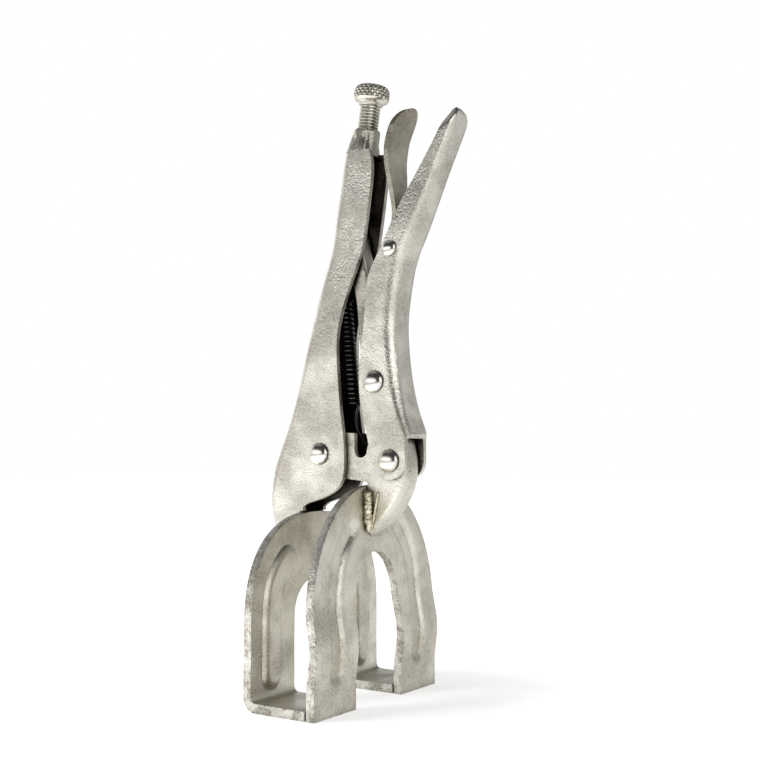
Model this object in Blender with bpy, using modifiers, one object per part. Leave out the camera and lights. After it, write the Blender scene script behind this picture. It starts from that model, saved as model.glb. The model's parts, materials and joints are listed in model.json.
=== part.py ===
"""Locking welding clamp with two U-shaped jaws.

The tool is drawn standing on its jaw feet. In the side view X runs from the fixed jaw
to the moving jaw and Z runs up the tool, with x = 0 on the fixed jaw's gripping face
and z = 0 under the feet. Y is across the tool, and y = 0 is its middle plane.
"""

import math

import bmesh
import bpy
from mathutils import Matrix, Vector

MM = 0.001

# General sizes
CLEARANCE = 0.3 * MM              # gap between pieces that touch or run in each other
HANDLE_SHEET = 2.2 * MM           # sheet of the handles, bracket, link and lever
JAW_SHEET = 4.0 * MM              # plate of the two U jaws
HANDLE_WIDTH = 18.0 * MM          # outer width of both handles at the pivots
ROUND_STEPS = 24                  # facets round a rivet or the screw
CUT_THROUGH = 200 * MM            # thickness of guide shapes that cut right across the tool
BOX_CENTRE_X = 26.97 * MM         # middle of the whole tool along X, put over the origin

# Pivots in the side view
JAW_PIVOT = (6.6 * MM, 109.4 * MM)
HANDLE_PIVOT = (44.5 * MM, 106.2 * MM)
TOGGLE_PIVOT = (36.5 * MM, 141.3 * MM)
LEVER_PIVOT = (44.8 * MM, 200.2 * MM)
LINK_TOP = (20.2 * MM, 213.0 * MM)
RIVET_SHANK_RADIUS = 3.0 * MM
RIVET_HEAD_RADIUS = 4.9 * MM
RIVET_HEAD_HEIGHT = 2.3 * MM
SMALL_SHANK_RADIUS = 2.2 * MM
SMALL_HEAD_RADIUS = 3.5 * MM
SMALL_HEAD_HEIGHT = 1.8 * MM

# U jaws
JAW_HALF_WIDTH = 48.0 * MM
THROAT_HALF_WIDTH = 18.0 * MM
LEG_STRAIGHT = 36.0 * MM          # height where the arches start
CROWN_HEIGHT = 29.5 * MM          # plate between the throat's top and the jaw's top
SEAT_DROP = 26.4 * MM             # fixed jaw's top below the jaw pivot
MOVING_JAW_EXTRA = 12.5 * MM      # how much taller the moving jaw is
FOOT_REACH = 28.7 * MM            # fixed jaw's bent feet, out to their tips
FOOT_BEND_RADIUS = 2.5 * MM       # inside radius of that bend
FIXED_CROWN_POWER = 2.4           # how square the arches are: 2 is a plain half ellipse
MOVING_CROWN_POWER = 2.1
THROAT_POWER = 2.2
JAW_CLOSED_GAP = 0.8 * MM         # feet's tips to the moving jaw when closed
MOVING_JAW_LEAN = math.radians(1.6)
LEG_WAVE = 1.0 * MM               # how far the moving jaw's legs are bowed out
BEAD_RADIUS = 4.6 * MM
BEAD_HEIGHT = 1.4 * MM

# Adjusting screw
SCREW_RADIUS = 4.75 * MM
SCREW_TOP = (30.2 * MM, 280.0 * MM)
SCREW_LEAN = math.radians(8.5)
SCREW_TIP_GAP = 3.7 * MM
KNOB_RADIUS = 8.2 * MM
KNOB_HEIGHT = 9.0 * MM
BUSH_RADIUS = 6.9 * MM
BUSH_LENGTH = 10.0 * MM
BUSH_DROP = 21.5 * MM             # knob's top to the bush's top, along the screw

# Spring
WIRE_RADIUS = 0.65 * MM
COIL_RADIUS = 3.2 * MM
COIL_TURNS = 21
COIL_TOP = (13.9 * MM, 178.0 * MM)
COIL_BOTTOM = (19.4 * MM, 132.0 * MM)
SPRING_PIN = (33.6 * MM, 114.2 * MM)
SPRING_PIN_RADIUS = 1.4 * MM
SPRING_TAB = (11.4 * MM, 185.2 * MM)

# Values that follow from those above
FIXED_JAW_TOP = JAW_PIVOT[1] - SEAT_DROP
MOVING_JAW_TOP = FIXED_JAW_TOP + MOVING_JAW_EXTRA
HANDLE_HALF = HANDLE_WIDTH / 2
BRACKET_HALF = HANDLE_HALF - HANDLE_SHEET - CLEARANCE
MOVING_FACE_X = FOOT_REACH + JAW_CLOSED_GAP + JAW_SHEET
LEVER_HALF = BRACKET_HALF - 0.8 * MM  # outer half width of the release lever's ears
WELD_RADIUS = 1.7 * MM


def mm(*pairs):
    """Side-view points written in millimetres, as metres."""
    return [(x * MM, z * MM) for x, z in pairs]


def from_jaw_top(*pairs):
    """Side-view points written in millimetres, with their heights counted from the fixed jaw's top."""
    return [(x * MM, FIXED_JAW_TOP + z * MM) for x, z in pairs]


def smooth_path(points, steps=6):
    """Points on a Catmull-Rom curve through the given ones, ends included."""
    ends = [points[0], *points, points[-1]]
    out = []
    for i in range(len(points) - 1):
        a, b, c, d = (Vector(p) for p in ends[i:i + 4])
        for k in range(steps):
            t = k / steps
            out.append(0.5 * ((2 * b) + (c - a) * t + (2 * a - 5 * b + 4 * c - d) * t ** 2
                              + (3 * b - a - 3 * c + d) * t ** 3))
    out.append(Vector(points[-1]))
    return [tuple(p) for p in out]


def arc(centre, radius, start, end, count):
    """Points on an arc, with its angles in degrees from +X."""
    angles = [math.radians(start + (end - start) * i / count) for i in range(count + 1)]
    return [(centre[0] + radius * math.cos(a), centre[1] + radius * math.sin(a)) for a in angles]


def arch(half_width, base, rise, exponent, count=20):
    """Half of a squared-off ellipse, from +Y over the top to -Y."""
    out = []
    for i in range(count + 1):
        angle = math.pi * i / count
        c, s = math.cos(angle), math.sin(angle)
        y = half_width * math.copysign(abs(c) ** (2 / exponent), c)
        out.append((y, base + rise * s ** (2 / exponent)))
    return out


def resample(points, count):
    """The same path as count points, evenly spaced along it."""
    points = [Vector(p) for p in points]
    lengths = [0.0]
    for a, b in zip(points, points[1:]):
        lengths.append(lengths[-1] + (b - a).length)
    out, k = [], 0
    for i in range(count):
        want = lengths[-1] * i / (count - 1)
        while k < len(points) - 2 and lengths[k + 1] < want:
            k += 1
        span = lengths[k + 1] - lengths[k]
        out.append(points[k].lerp(points[k + 1], min(1.0, (want - lengths[k]) / span)))
    return out


def steel(name, colour, roughness, metallic=1.0):
    """A metal finish."""
    material = bpy.data.materials.new(name)
    material.use_nodes = True
    shader = material.node_tree.nodes["Principled BSDF"]
    shader.inputs["Base Color"].default_value = (*colour, 1)
    shader.inputs["Roughness"].default_value = roughness
    shader.inputs["Metallic"].default_value = metallic
    return material


class Shop:
    """The collections, the parent empty and the finishes that every piece uses."""

    def __init__(self):
        self.parts = bpy.data.collections.new("welding_clamp")
        self.cutters = bpy.data.collections.new("cutters")
        for collection in (self.parts, self.cutters):
            bpy.context.scene.collection.children.link(collection)
        self.tool = bpy.data.objects.new("tool", None)
        self.tool.location = (-BOX_CENTRE_X, 0, 0)
        bpy.context.scene.collection.objects.link(self.tool)
        self.nickel = steel("nickel_plate", (0.62, 0.60, 0.55), 0.38)
        self.bright = steel("bright_steel", (0.75, 0.74, 0.70), 0.25)
        self.spring_black = steel("black_spring_steel", (0.03, 0.03, 0.03), 0.4)
        self.weld = steel("weld_metal", (0.60, 0.56, 0.46), 0.5)

    def add(self, name, mesh, material):
        """A piece of the tool."""
        piece = bpy.data.objects.new(name, mesh)
        mesh.materials.clear()
        mesh.materials.append(material)
        self.parts.objects.link(piece)
        piece.parent = self.tool
        return piece

    def cutter(self, name, mesh):
        """A guide shape that cuts or joins a piece."""
        shape = bpy.data.objects.new(name, mesh)
        self.cutters.objects.link(shape)
        shape.parent = self.tool
        shape.hide_render = True
        shape.display_type = "WIRE"
        return shape


def mesh_from_curve(curve, matrix):
    """A curve's solid as a mesh with welded caps, placed by a matrix."""
    holder = bpy.data.objects.new("holder", curve)
    bpy.context.scene.collection.objects.link(holder)
    bpy.context.view_layer.update()
    evaluated = holder.evaluated_get(bpy.context.evaluated_depsgraph_get())
    mesh = bpy.data.meshes.new_from_object(evaluated)
    bpy.data.objects.remove(holder)
    welded = bmesh.new()
    welded.from_mesh(mesh)
    bmesh.ops.remove_doubles(welded, verts=welded.verts, dist=0.001 * MM)
    bmesh.ops.recalc_face_normals(welded, faces=welded.faces)
    welded.to_mesh(mesh)
    welded.free()
    mesh.transform(matrix)
    return mesh


SIDE_VIEW = Matrix.Rotation(math.pi / 2, 4, "X")
FRONT_VIEW = Matrix.Rotation(math.pi / 2, 4, "Z") @ SIDE_VIEW


def flat_outline(outlines, thickness, view, offset=(0, 0, 0)):
    """A plate of the given outlines, the first one outside and the others holes."""
    curve = bpy.data.curves.new("outline", "CURVE")
    curve.dimensions = "2D"
    curve.fill_mode = "BOTH"
    curve.extrude = thickness / 2
    for points in outlines:
        spline = curve.splines.new("POLY")
        spline.points.add(len(points) - 1)
        for point, (u, v) in zip(spline.points, points):
            point.co = (u, v, 0, 1)
        spline.use_cyclic_u = True
    return mesh_from_curve(curve, Matrix.Translation(offset) @ view)


def wire(points, radius, resolution=2):
    """A round wire through the points."""
    curve = bpy.data.curves.new("wire", "CURVE")
    curve.dimensions = "3D"
    curve.bevel_depth = radius
    curve.bevel_resolution = resolution
    curve.use_fill_caps = True
    spline = curve.splines.new("POLY")
    spline.points.add(len(points) - 1)
    for point, place in zip(spline.points, points):
        point.co = (*place, 1)
    return mesh_from_curve(curve, Matrix.Identity(4))


def turned(shop, name, profile, material, place, axis, steps=ROUND_STEPS):
    """A turned piece: profile is (radius, height) from its top down, turned about axis."""
    mesh = bpy.data.meshes.new(name)
    mesh.from_pydata([(r, 0, h) for r, h in profile],
                     [(i, i + 1) for i in range(len(profile) - 1)], [])
    piece = shop.add(name, mesh, material)
    piece.location = place
    piece.rotation_euler = Vector(axis).to_track_quat("Z", "Y").to_euler()
    screw = piece.modifiers.new("turn", "SCREW")
    screw.steps = screw.render_steps = steps
    screw.use_merge_vertices = True
    screw.merge_threshold = 0.001 * MM
    screw.use_smooth_shade = True
    return piece


def boolean(piece, shape, operation):
    """Cuts, joins or trims a piece with a guide shape."""
    modifier = piece.modifiers.new(operation.lower(), "BOOLEAN")
    modifier.operation = operation
    modifier.solver = "EXACT"
    modifier.object = shape


def cross_hole(shop, piece, centre, radius, depth=4 * HANDLE_WIDTH):
    """A hole along Y, right across the tool unless a depth is given."""
    mesh = bpy.data.meshes.new("cross_hole")
    hole = bmesh.new()
    bmesh.ops.create_cone(hole, cap_ends=True, segments=ROUND_STEPS, radius1=radius,
                          radius2=radius, depth=depth)
    hole.to_mesh(mesh)
    hole.free()
    mesh.transform(Matrix.Translation((centre[0], 0, centre[1])) @ SIDE_VIEW)
    boolean(piece, shop.cutter(piece.name + "_hole", mesh), "DIFFERENCE")


def channel(shop, name, spine, edge, half_width, corner, sheet, material, stations=44):
    """A folded-sheet channel: its back follows spine and its two walls end at edge.

    half_width and corner are functions of a station's share of the way, from 0 to 1.
    """
    backs, fronts = resample(spine, stations), resample(edge, stations)
    corner_steps = 4
    rows = []
    for i, (back, front) in enumerate(zip(backs, fronts)):
        share = i / (stations - 1)
        depth = (front - back).length
        half, radius = half_width(share), min(corner(share), 0.45 * depth)
        inward = (front - back).normalized()
        row = [(front, half), (back + inward * (0.5 * depth + 0.5 * radius), half)]
        for k in range(corner_steps + 1):
            angle = math.pi / 2 * k / corner_steps
            row.append((back + inward * radius * (1 - math.sin(angle)),
                        half - radius * (1 - math.cos(angle))))
        row += [(point, -y) for point, y in reversed(row)]
        rows.append([(p[0], y, p[1]) for p, y in row])
    across = len(rows[0])
    faces = [(i * across + j, i * across + j + 1, (i + 1) * across + j + 1, (i + 1) * across + j)
             for i in range(stations - 1) for j in range(across - 1)]
    mesh = bpy.data.meshes.new(name)
    mesh.from_pydata([p for row in rows for p in row], [], faces)
    outward = backs[stations // 2] - fronts[stations // 2]
    middle = mesh.polygons[(stations // 2) * (across - 1) + across // 2]
    if middle.normal.dot((outward[0], 0, outward[1])) < 0:
        mesh.flip_normals()
    mesh.shade_smooth()
    piece = shop.add(name, mesh, material)
    shell = piece.modifiers.new("sheet", "SOLIDIFY")
    shell.thickness = sheet
    shell.offset = -1
    shell.use_even_offset = True
    return piece


def constant(value):
    """The same value all along a channel."""
    return lambda share: value


def ramp(*knots):
    """A value that runs smoothly between (share, value) knots along a channel."""
    def value(share):
        for (a, va), (b, vb) in zip(knots, knots[1:]):
            if share <= b:
                t = max(0.0, (share - a) / (b - a))
                return va + (vb - va) * t * t * (3 - 2 * t)
        return knots[-1][1]
    return value


def rounded_start(width, length, least):
    """The same width along a channel, but rounded off over its first length, down to least."""
    def value(share):
        if share >= length:
            return width(share)
        missing = 1 - share / length
        return max(least, width(share) * math.sqrt(1 - missing ** 2))
    return value


def jaw_outline(top, rise_exponent):
    """The U of a jaw in the front view, with its legs open at the bottom."""
    below = -20 * MM
    throat_rise = top - CROWN_HEIGHT - LEG_STRAIGHT
    outer = arch(JAW_HALF_WIDTH, LEG_STRAIGHT, top - LEG_STRAIGHT, rise_exponent, 28)
    inner = arch(THROAT_HALF_WIDTH, LEG_STRAIGHT, throat_rise, THROAT_POWER, 18)
    return [(JAW_HALF_WIDTH, below), *outer, (-JAW_HALF_WIDTH, below),
            (-THROAT_HALF_WIDTH, below), *reversed(inner), (THROAT_HALF_WIDTH, below)]


def bead(shop, name, path, side, face_x, height):
    """The stiffening bead pressed along one leg, as a long flattened tube."""
    points = [(0, side * y, z) for y, z in smooth_path(path, 5)]
    mesh = wire(points, BEAD_RADIUS)
    off_plane = 0.13 * MM
    for vertex in mesh.vertices:
        vertex.co.x = vertex.co.x * height / BEAD_RADIUS + face_x(vertex.co.z) - off_plane
    return shop.cutter(name, mesh)


def press_beads(shop, jaw, path, grip_face_x, back_face_x):
    """Presses a bead along both legs: hollow on the jaw's back, raised on its gripping face."""
    for side in (-1, 1):
        label = f"{jaw.name}_bead_{'near' if side < 0 else 'far'}"
        boolean(jaw, bead(shop, label + "_raised", path, side, grip_face_x, BEAD_HEIGHT), "UNION")
        boolean(jaw, bead(shop, label + "_hollow", path, side, back_face_x, BEAD_HEIGHT), "DIFFERENCE")


def fixed_jaw(shop):
    """The jaw on the fixed handle: a U plate with its legs' ends bent into feet."""
    outer_radius = FOOT_BEND_RADIUS + JAW_SHEET
    centre = (FOOT_BEND_RADIUS, outer_radius)
    profile = [(0, FIXED_JAW_TOP + 5 * MM), (-JAW_SHEET, FIXED_JAW_TOP + 5 * MM),
               *arc(centre, outer_radius, 180, 270, 8),
               (FOOT_REACH, 0), (FOOT_REACH, JAW_SHEET),
               *arc(centre, FOOT_BEND_RADIUS, 270, 180, 6)]
    jaw = shop.add("fixed_jaw", flat_outline([profile], 3 * JAW_HALF_WIDTH, SIDE_VIEW), shop.nickel)
    outline = flat_outline([jaw_outline(FIXED_JAW_TOP, FIXED_CROWN_POWER)], CUT_THROUGH, FRONT_VIEW)
    boolean(jaw, shop.cutter("fixed_jaw_outline", outline), "INTERSECT")
    path = mm((34.0, 14.0), (34.0, 28.0), (33.8, 42.0), (32.0, 51.5), (28.3, 58.0), (23.5, 62.5))
    press_beads(shop, jaw, path, lambda z: 0.0, lambda z: -JAW_SHEET)
    return jaw


def moving_jaw_face(z):
    """X of the moving jaw's outer face at a height: it leans in, and its legs are bowed."""
    bow = 0.0
    if 10 * MM < z < 46 * MM:
        bow = LEG_WAVE * math.sin(math.pi * (z - 10 * MM) / (36 * MM)) ** 2
    return MOVING_FACE_X - math.tan(MOVING_JAW_LEAN) * max(0.0, z - 10 * MM) + bow


def moving_jaw(shop):
    """The jaw on the swinging bracket: a taller U plate whose legs end in flat pads."""
    heights = [0, 10 * MM] + [(10 + 4 * i) * MM for i in range(1, 10)] + [MOVING_JAW_TOP + 5 * MM]
    outside = [(moving_jaw_face(z), z) for z in heights]
    inside = [(x - JAW_SHEET, z) for x, z in reversed(outside)]
    jaw = shop.add("moving_jaw", flat_outline([outside + inside], 3 * JAW_HALF_WIDTH, SIDE_VIEW),
                   shop.nickel)
    outline = flat_outline([jaw_outline(MOVING_JAW_TOP, MOVING_CROWN_POWER)], CUT_THROUGH, FRONT_VIEW)
    boolean(jaw, shop.cutter("moving_jaw_outline", outline), "INTERSECT")
    path = mm((32.0, 18.0), (32.2, 32.0), (31.8, 46.0), (29.8, 59.0), (25.5, 69.0), (19.5, 76.0))
    press_beads(shop, jaw, path, lambda z: moving_jaw_face(z) - JAW_SHEET, moving_jaw_face)
    return jaw


def fixed_handle(shop):
    """The fixed handle: a channel that carries the fixed jaw, and the screw at its top."""
    weld_x = -JAW_SHEET - CLEARANCE
    spine = smooth_path(mm((17.7, 249.2), (15.9, 240.0), (13.4, 225.0), (10.3, 204.0),
                           (4.4, 185.0), (-1.0, 164.0), (-6.6, 143.0), (-11.8, 126.0),
                           (-17.4, 112.5), (-21.6, 101.0))
                        + from_jaw_top((-23.2, 7.0), (-22.0, -4.0), (-17.5, -13.0), (-11.0, -19.2),
                                       (-2.6, -24.5)))
    edge = smooth_path(mm((32.6, 247.4), (34.2, 239.0), (32.8, 226.0), (30.7, 212.0),
                          (28.6, 201.0), (25.0, 192.0), (21.8, 184.0), (18.0, 172.0),
                          (16.1, 160.0), (16.7, 145.0), (18.2, 129.0), (20.1, 116.0),
                          (20.5, 105.0))
                       + from_jaw_top((19.4, 14.4), (15.4, 9.8), (8.0, 6.2)))
    edge += from_jaw_top((-2.6, 3.0), (-2.6, -17.5))
    handle = channel(shop, "fixed_handle", spine, edge,
                     ramp((0, 7.3 * MM), (0.22, 7.3 * MM), (0.46, HANDLE_HALF), (1, HANDLE_HALF)),
                     ramp((0, 5.8 * MM), (0.3, 5.0 * MM), (1, 4.5 * MM)),
                     HANDLE_SHEET, shop.nickel, stations=52)
    crown = FIXED_JAW_TOP + CLEARANCE
    seat = [(weld_x, 40 * MM), (40 * MM, 40 * MM), (40 * MM, crown), (weld_x, crown)]
    boolean(handle, shop.cutter("jaw_seat", flat_outline([seat], CUT_THROUGH, SIDE_VIEW)), "DIFFERENCE")
    cross_hole(shop, handle, JAW_PIVOT, RIVET_SHANK_RADIUS + CLEARANCE)
    length, half, gauge = 5.4 * MM, 2.2 * MM, 2.0 * MM
    outline = [(-length, -half), (half, -half), *arc((0, 0), half, -60, 60, 6), (-length, half)]
    place = Matrix.Translation((SPRING_TAB[0], 0, SPRING_TAB[1]))
    tab = flat_outline([outline], gauge, place @ SIDE_VIEW)
    boolean(handle, shop.cutter("spring_tab", tab), "UNION")
    cross_hole(shop, handle, SPRING_TAB, WIRE_RADIUS + CLEARANCE, 5 * MM)
    return handle


def moving_handle(shop):
    """The moving handle: a channel open towards the fixed one, round at its tip."""
    spine = smooth_path(mm((75.6, 260.2), (77.3, 257.6), (76.2, 253.0), (70.8, 240.0), (63.4, 222.0),
                           (57.0, 208.5), (51.4, 196.0), (48.0, 182.0), (46.2, 168.0),
                           (46.6, 155.0), (48.4, 141.0), (51.0, 129.0), (54.6, 118.0),
                           (56.0, 108.0), (56.4, 94.0)))
    edge = smooth_path(mm((72.6, 257.4), (70.9, 253.4), (67.2, 246.6), (60.2, 236.0), (50.2, 220.6),
                          (44.2, 209.0), (39.6, 200.5), (35.3, 193.0), (32.7, 186.5),
                          (31.7, 174.0), (29.9, 158.0), (28.5, 145.0), (29.2, 132.5),
                          (32.2, 120.0), (34.6, 110.0), (36.5, 104.0), (36.5, 94.0)))
    width = ramp((0, 7.6 * MM), (0.16, 7.6 * MM), (0.34, HANDLE_HALF), (1, HANDLE_HALF))
    corner = ramp((0, 6.6 * MM), (0.2, 6.6 * MM), (0.7, 5.4 * MM), (0.9, 3.4 * MM), (1, 3.4 * MM))
    handle = channel(shop, "moving_handle", spine, edge, rounded_start(width, 0.05, 3.6 * MM),
                     corner, HANDLE_SHEET, shop.nickel, stations=70)
    spine_end = 118.6 * MM
    tongue = 8.2 * MM
    x, z = HANDLE_PIVOT
    far = 30 * MM
    fillet = 3.0 * MM
    trim = [(x + far, spine_end), *arc((x + tongue + fillet, spine_end - fillet), fillet, 90, 180, 5),
            *arc((x, z), tongue, 0, -180, 16), (x - tongue, z - far), (x + far, z - far)]
    boolean(handle, shop.cutter("tongue_trim", flat_outline([trim], CUT_THROUGH, SIDE_VIEW)), "DIFFERENCE")
    for pivot, radius in ((HANDLE_PIVOT, RIVET_SHANK_RADIUS), (TOGGLE_PIVOT, RIVET_SHANK_RADIUS),
                          (LEVER_PIVOT, SMALL_SHANK_RADIUS)):
        cross_hole(shop, handle, pivot, radius + CLEARANCE)
    return handle


def bracket(shop):
    """The folded bracket between the two main pivots, which the moving jaw is welded to."""
    spine = smooth_path(mm((47.6, 126.0), (49.6, 116.0), (51.3, 108.0), (51.6, 101.0),
                           (50.2, 94.5), (47.6, 89.0), (44.2, 83.8), (40.0, 79.4),
                           (35.0, 75.0), (31.0, 72.0)))
    edge = mm((-6.0, 128.0), (-6.0, 86.0))
    body = channel(shop, "jaw_bracket", spine, edge, constant(BRACKET_HALF), constant(3.8 * MM),
                   HANDLE_SHEET, shop.nickel, stations=34)
    x, z = JAW_PIVOT
    foot_z = MOVING_JAW_TOP - 25.5 * MM
    weld_top = moving_jaw_face(MOVING_JAW_TOP) + CLEARANCE
    weld_foot = moving_jaw_face(foot_z) + CLEARANCE
    slot_x, slot_z, slot_radius = 27.8 * MM, 111.0 * MM, 3.4 * MM
    outline = [*arc((x, z), 9.4 * MM, 100, 262, 14), *mm((18.0, 98.4), (26.0, 97.6)),
               (weld_top, MOVING_JAW_TOP + 1.2 * MM), (weld_foot, foot_z), *mm((60, 60), (60, 119.4)),
               *mm((33.4, 119.4)), *arc((slot_x, slot_z), slot_radius, 0, -180, 8),
               (slot_x - slot_radius, 118.6 * MM), *mm((16.0, 119.2))]
    trim = flat_outline([outline], CUT_THROUGH, SIDE_VIEW)
    boolean(body, shop.cutter("bracket_outline", trim), "INTERSECT")
    for pivot, radius in ((JAW_PIVOT, RIVET_SHANK_RADIUS), (HANDLE_PIVOT, RIVET_SHANK_RADIUS),
                          (SPRING_PIN, SPRING_PIN_RADIUS)):
        cross_hole(shop, body, pivot, radius + CLEARANCE)
    return body


def toggle_link(shop):
    """The link from the moving handle up to the screw's tip, folded from sheet."""
    foot, head = Vector(TOGGLE_PIVOT), Vector(LINK_TOP)
    along = (head - foot).normalized()
    aside = Vector((along[1], -along[0]))
    foot_radius, head_radius = 6.3 * MM, 4.3 * MM
    low, high = foot - along * 12 * MM, head + along * 10 * MM
    spine = [low + aside * foot_radius, high + aside * head_radius]
    edge = [low - aside * 12 * MM, high - aside * 12 * MM]
    link = channel(shop, "toggle_link", spine, edge,
                   ramp((0, BRACKET_HALF), (0.3, BRACKET_HALF), (0.55, 4.2 * MM), (1, 4.2 * MM)),
                   constant(2.6 * MM), 1.8 * MM, shop.nickel, stations=24)
    angle = math.degrees(math.atan2(along[1], along[0]))
    waist = 0.55
    middle = foot.lerp(head, waist)
    outline = [*arc(foot, foot_radius, angle + 90, angle + 270, 14),
               tuple(middle + aside * head_radius * 1.06),
               *arc(head, head_radius, angle - 90, angle + 90, 12),
               tuple(middle - aside * head_radius * 0.9)]
    boolean(link, shop.cutter("link_outline", flat_outline([outline], CUT_THROUGH, SIDE_VIEW)), "INTERSECT")
    cross_hole(shop, link, TOGGLE_PIVOT, RIVET_SHANK_RADIUS + CLEARANCE)
    return link


def release_lever(shop):
    """The release lever: a bent strip with two ears on its pivot and a rounded thumb pad."""
    face = smooth_path(mm((37.8, 185.5), (38.6, 192.0), (40.6, 200.2), (43.2, 207.6),
                          (45.2, 215.0), (45.4, 222.0), (44.3, 232.0), (43.4, 242.0),
                          (44.6, 251.0), (48.0, 258.5), (53.0, 264.6)), 4)
    back = []
    for i, point in enumerate(face):
        a, b = Vector(face[max(0, i - 1)]), Vector(face[min(len(face) - 1, i + 1)])
        along = (b - a).normalized()
        back.append((point[0] - along[1] * HANDLE_SHEET, point[1] + along[0] * HANDLE_SHEET))
    strip_mesh = flat_outline([face + back[::-1]], 3 * BRACKET_HALF, SIDE_VIEW)
    lever = shop.add("release_lever", strip_mesh, shop.nickel)
    pad_half, waist_half, nose_half = 8.4 * MM, 4.2 * MM, 4.0 * MM
    pad_top, pad_round = 264.2 * MM, 8.4 * MM
    right = [(nose_half, 180 * MM), (nose_half, 187 * MM),
             (LEVER_HALF, 193 * MM), (LEVER_HALF, 204 * MM),
             *smooth_path([(waist_half + 0.6 * MM, 208.5 * MM), (waist_half, 214 * MM),
                           (5.6 * MM, 224 * MM), (7.5 * MM, 236 * MM), (pad_half, 247 * MM)], 3),
             (pad_half, pad_top - pad_round)]
    crown = arc((0, pad_top - pad_round), pad_round, 0, 180, 14)[1:-1]
    front = flat_outline([right + crown + [(-y, z) for y, z in right[::-1]]], CUT_THROUGH, FRONT_VIEW)
    boolean(lever, shop.cutter("lever_front", front), "INTERSECT")
    ear_radius = 4.2 * MM
    ear = [*arc(LEVER_PIVOT, ear_radius, -100, 100, 14),
           *mm((42.6, 207.0), (40.2, 201.0), (38.6, 194.0))]
    for side in (-1, 1):
        offset = (0, side * (LEVER_HALF - HANDLE_SHEET / 2), 0)
        ear_mesh = flat_outline([ear], HANDLE_SHEET, SIDE_VIEW, offset)
        boolean(lever, shop.cutter(f"lever_ear_{'near' if side < 0 else 'far'}", ear_mesh), "UNION")
    cross_hole(shop, lever, LEVER_PIVOT, SMALL_SHANK_RADIUS + CLEARANCE)
    return lever


def rivet(shop, name, pivot, shank, head, height):
    """A rivet across the handles, with a domed head on each side."""
    seat = HANDLE_HALF + CLEARANCE
    flank = 0.5 * MM
    dome = [(head * math.cos(a), seat + flank + (height - flank) * math.sin(a))
            for a in (math.radians(degrees) for degrees in (0, 20, 40, 60, 75))]
    top = [(0, seat + height), *reversed(dome), (head, seat), (shank, seat)]
    profile = top + [(r, -h) for r, h in reversed(top)]
    return turned(shop, name, profile, shop.bright, (pivot[0], 0, pivot[1]), (0, 1, 0))


def adjusting_screw(shop):
    """The adjusting screw with its knurled knob, and the threaded bush that it turns in."""
    down = Vector((-math.sin(SCREW_LEAN), 0, -math.cos(SCREW_LEAN)))
    top = Vector((SCREW_TOP[0], 0, SCREW_TOP[1]))
    to_link = (Vector((LINK_TOP[0], 0, LINK_TOP[1])) - top).dot(down)
    length = to_link - 4.3 * MM - SCREW_TIP_GAP
    chamfer = 0.8 * MM
    neck = 6.0 * MM
    profile = [(0, 0), (KNOB_RADIUS - 2.2 * MM, 0), (KNOB_RADIUS - 0.6 * MM, -chamfer),
               (KNOB_RADIUS, -2 * chamfer), (KNOB_RADIUS, -KNOB_HEIGHT + 2.2 * MM),
               (KNOB_RADIUS - 0.5 * MM, -KNOB_HEIGHT + 1.2 * MM), (neck, -KNOB_HEIGHT),
               (SCREW_RADIUS, -KNOB_HEIGHT - 0.2 * MM), (SCREW_RADIUS, -length + 1.2 * MM),
               (SCREW_RADIUS - 1.2 * MM, -length), (0, -length)]
    screw = turned(shop, "adjusting_screw", profile, shop.nickel, top, -down)
    octagon = [(BUSH_RADIUS * math.cos(math.radians(a)), BUSH_RADIUS * math.sin(math.radians(a)))
               for a in (22.5 + 45 * i for i in range(8))]
    bore = arc((0, 0), SCREW_RADIUS + CLEARANCE, 0, 345, 23)
    bush_mesh = flat_outline([octagon, bore], BUSH_LENGTH, Matrix.Identity(4))
    bush = shop.add("screw_bush", bush_mesh, shop.nickel)
    bush.location = top + down * (BUSH_DROP + BUSH_LENGTH / 2)
    bush.rotation_euler = (-down).to_track_quat("Z", "Y").to_euler()
    return screw, bush


def spring(shop):
    """The tension spring from the tab in the fixed handle to the pin in the bracket."""
    top, bottom = Vector(COIL_TOP), Vector(COIL_BOTTOM)
    down = (bottom - top).normalized()
    aside = Vector((-down[1], down[0]))
    per_turn = 8
    count = COIL_TURNS * per_turn
    coil = []
    for i in range(count + 1):
        angle = 2 * math.pi * i / per_turn
        centre = top.lerp(bottom, i / count) + aside * COIL_RADIUS * math.cos(angle)
        coil.append((centre[0], COIL_RADIUS * math.sin(angle), centre[1]))
    tab_x, tab_z = SPRING_TAB
    hook = [(tab_x, -3.2 * MM, tab_z), (tab_x + 0.2 * MM, 2.6 * MM, tab_z),
            (tab_x + 2.6 * MM, 3.4 * MM, tab_z - 1.4 * MM),
            (tab_x + 5.6 * MM, 1.6 * MM, tab_z - 4.4 * MM)]
    pin_x, pin_z = SPRING_PIN
    turn = SPRING_PIN_RADIUS + CLEARANCE + WIRE_RADIUS
    tail = [*mm((20.5, 127.0), (22.0, 120.0), (26.0, 114.6)), *arc((pin_x, pin_z), turn, 236, 420, 8)]
    mesh = wire(hook + coil + [(x, 0, z) for x, z in tail], WIRE_RADIUS, resolution=1)
    return shop.add("spring", mesh, shop.spring_black)


def spring_pin(shop):
    """The pin across the bracket that the spring's lower hook pulls on."""
    half = BRACKET_HALF
    chamfer = 0.3 * MM
    top = [(0, half), (SPRING_PIN_RADIUS - chamfer, half), (SPRING_PIN_RADIUS, half - chamfer)]
    profile = top + [(r, -h) for r, h in reversed(top)]
    place = (SPRING_PIN[0], 0, SPRING_PIN[1])
    return turned(shop, "spring_pin", profile, shop.bright, place, (0, 1, 0), ROUND_STEPS // 2)


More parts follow.
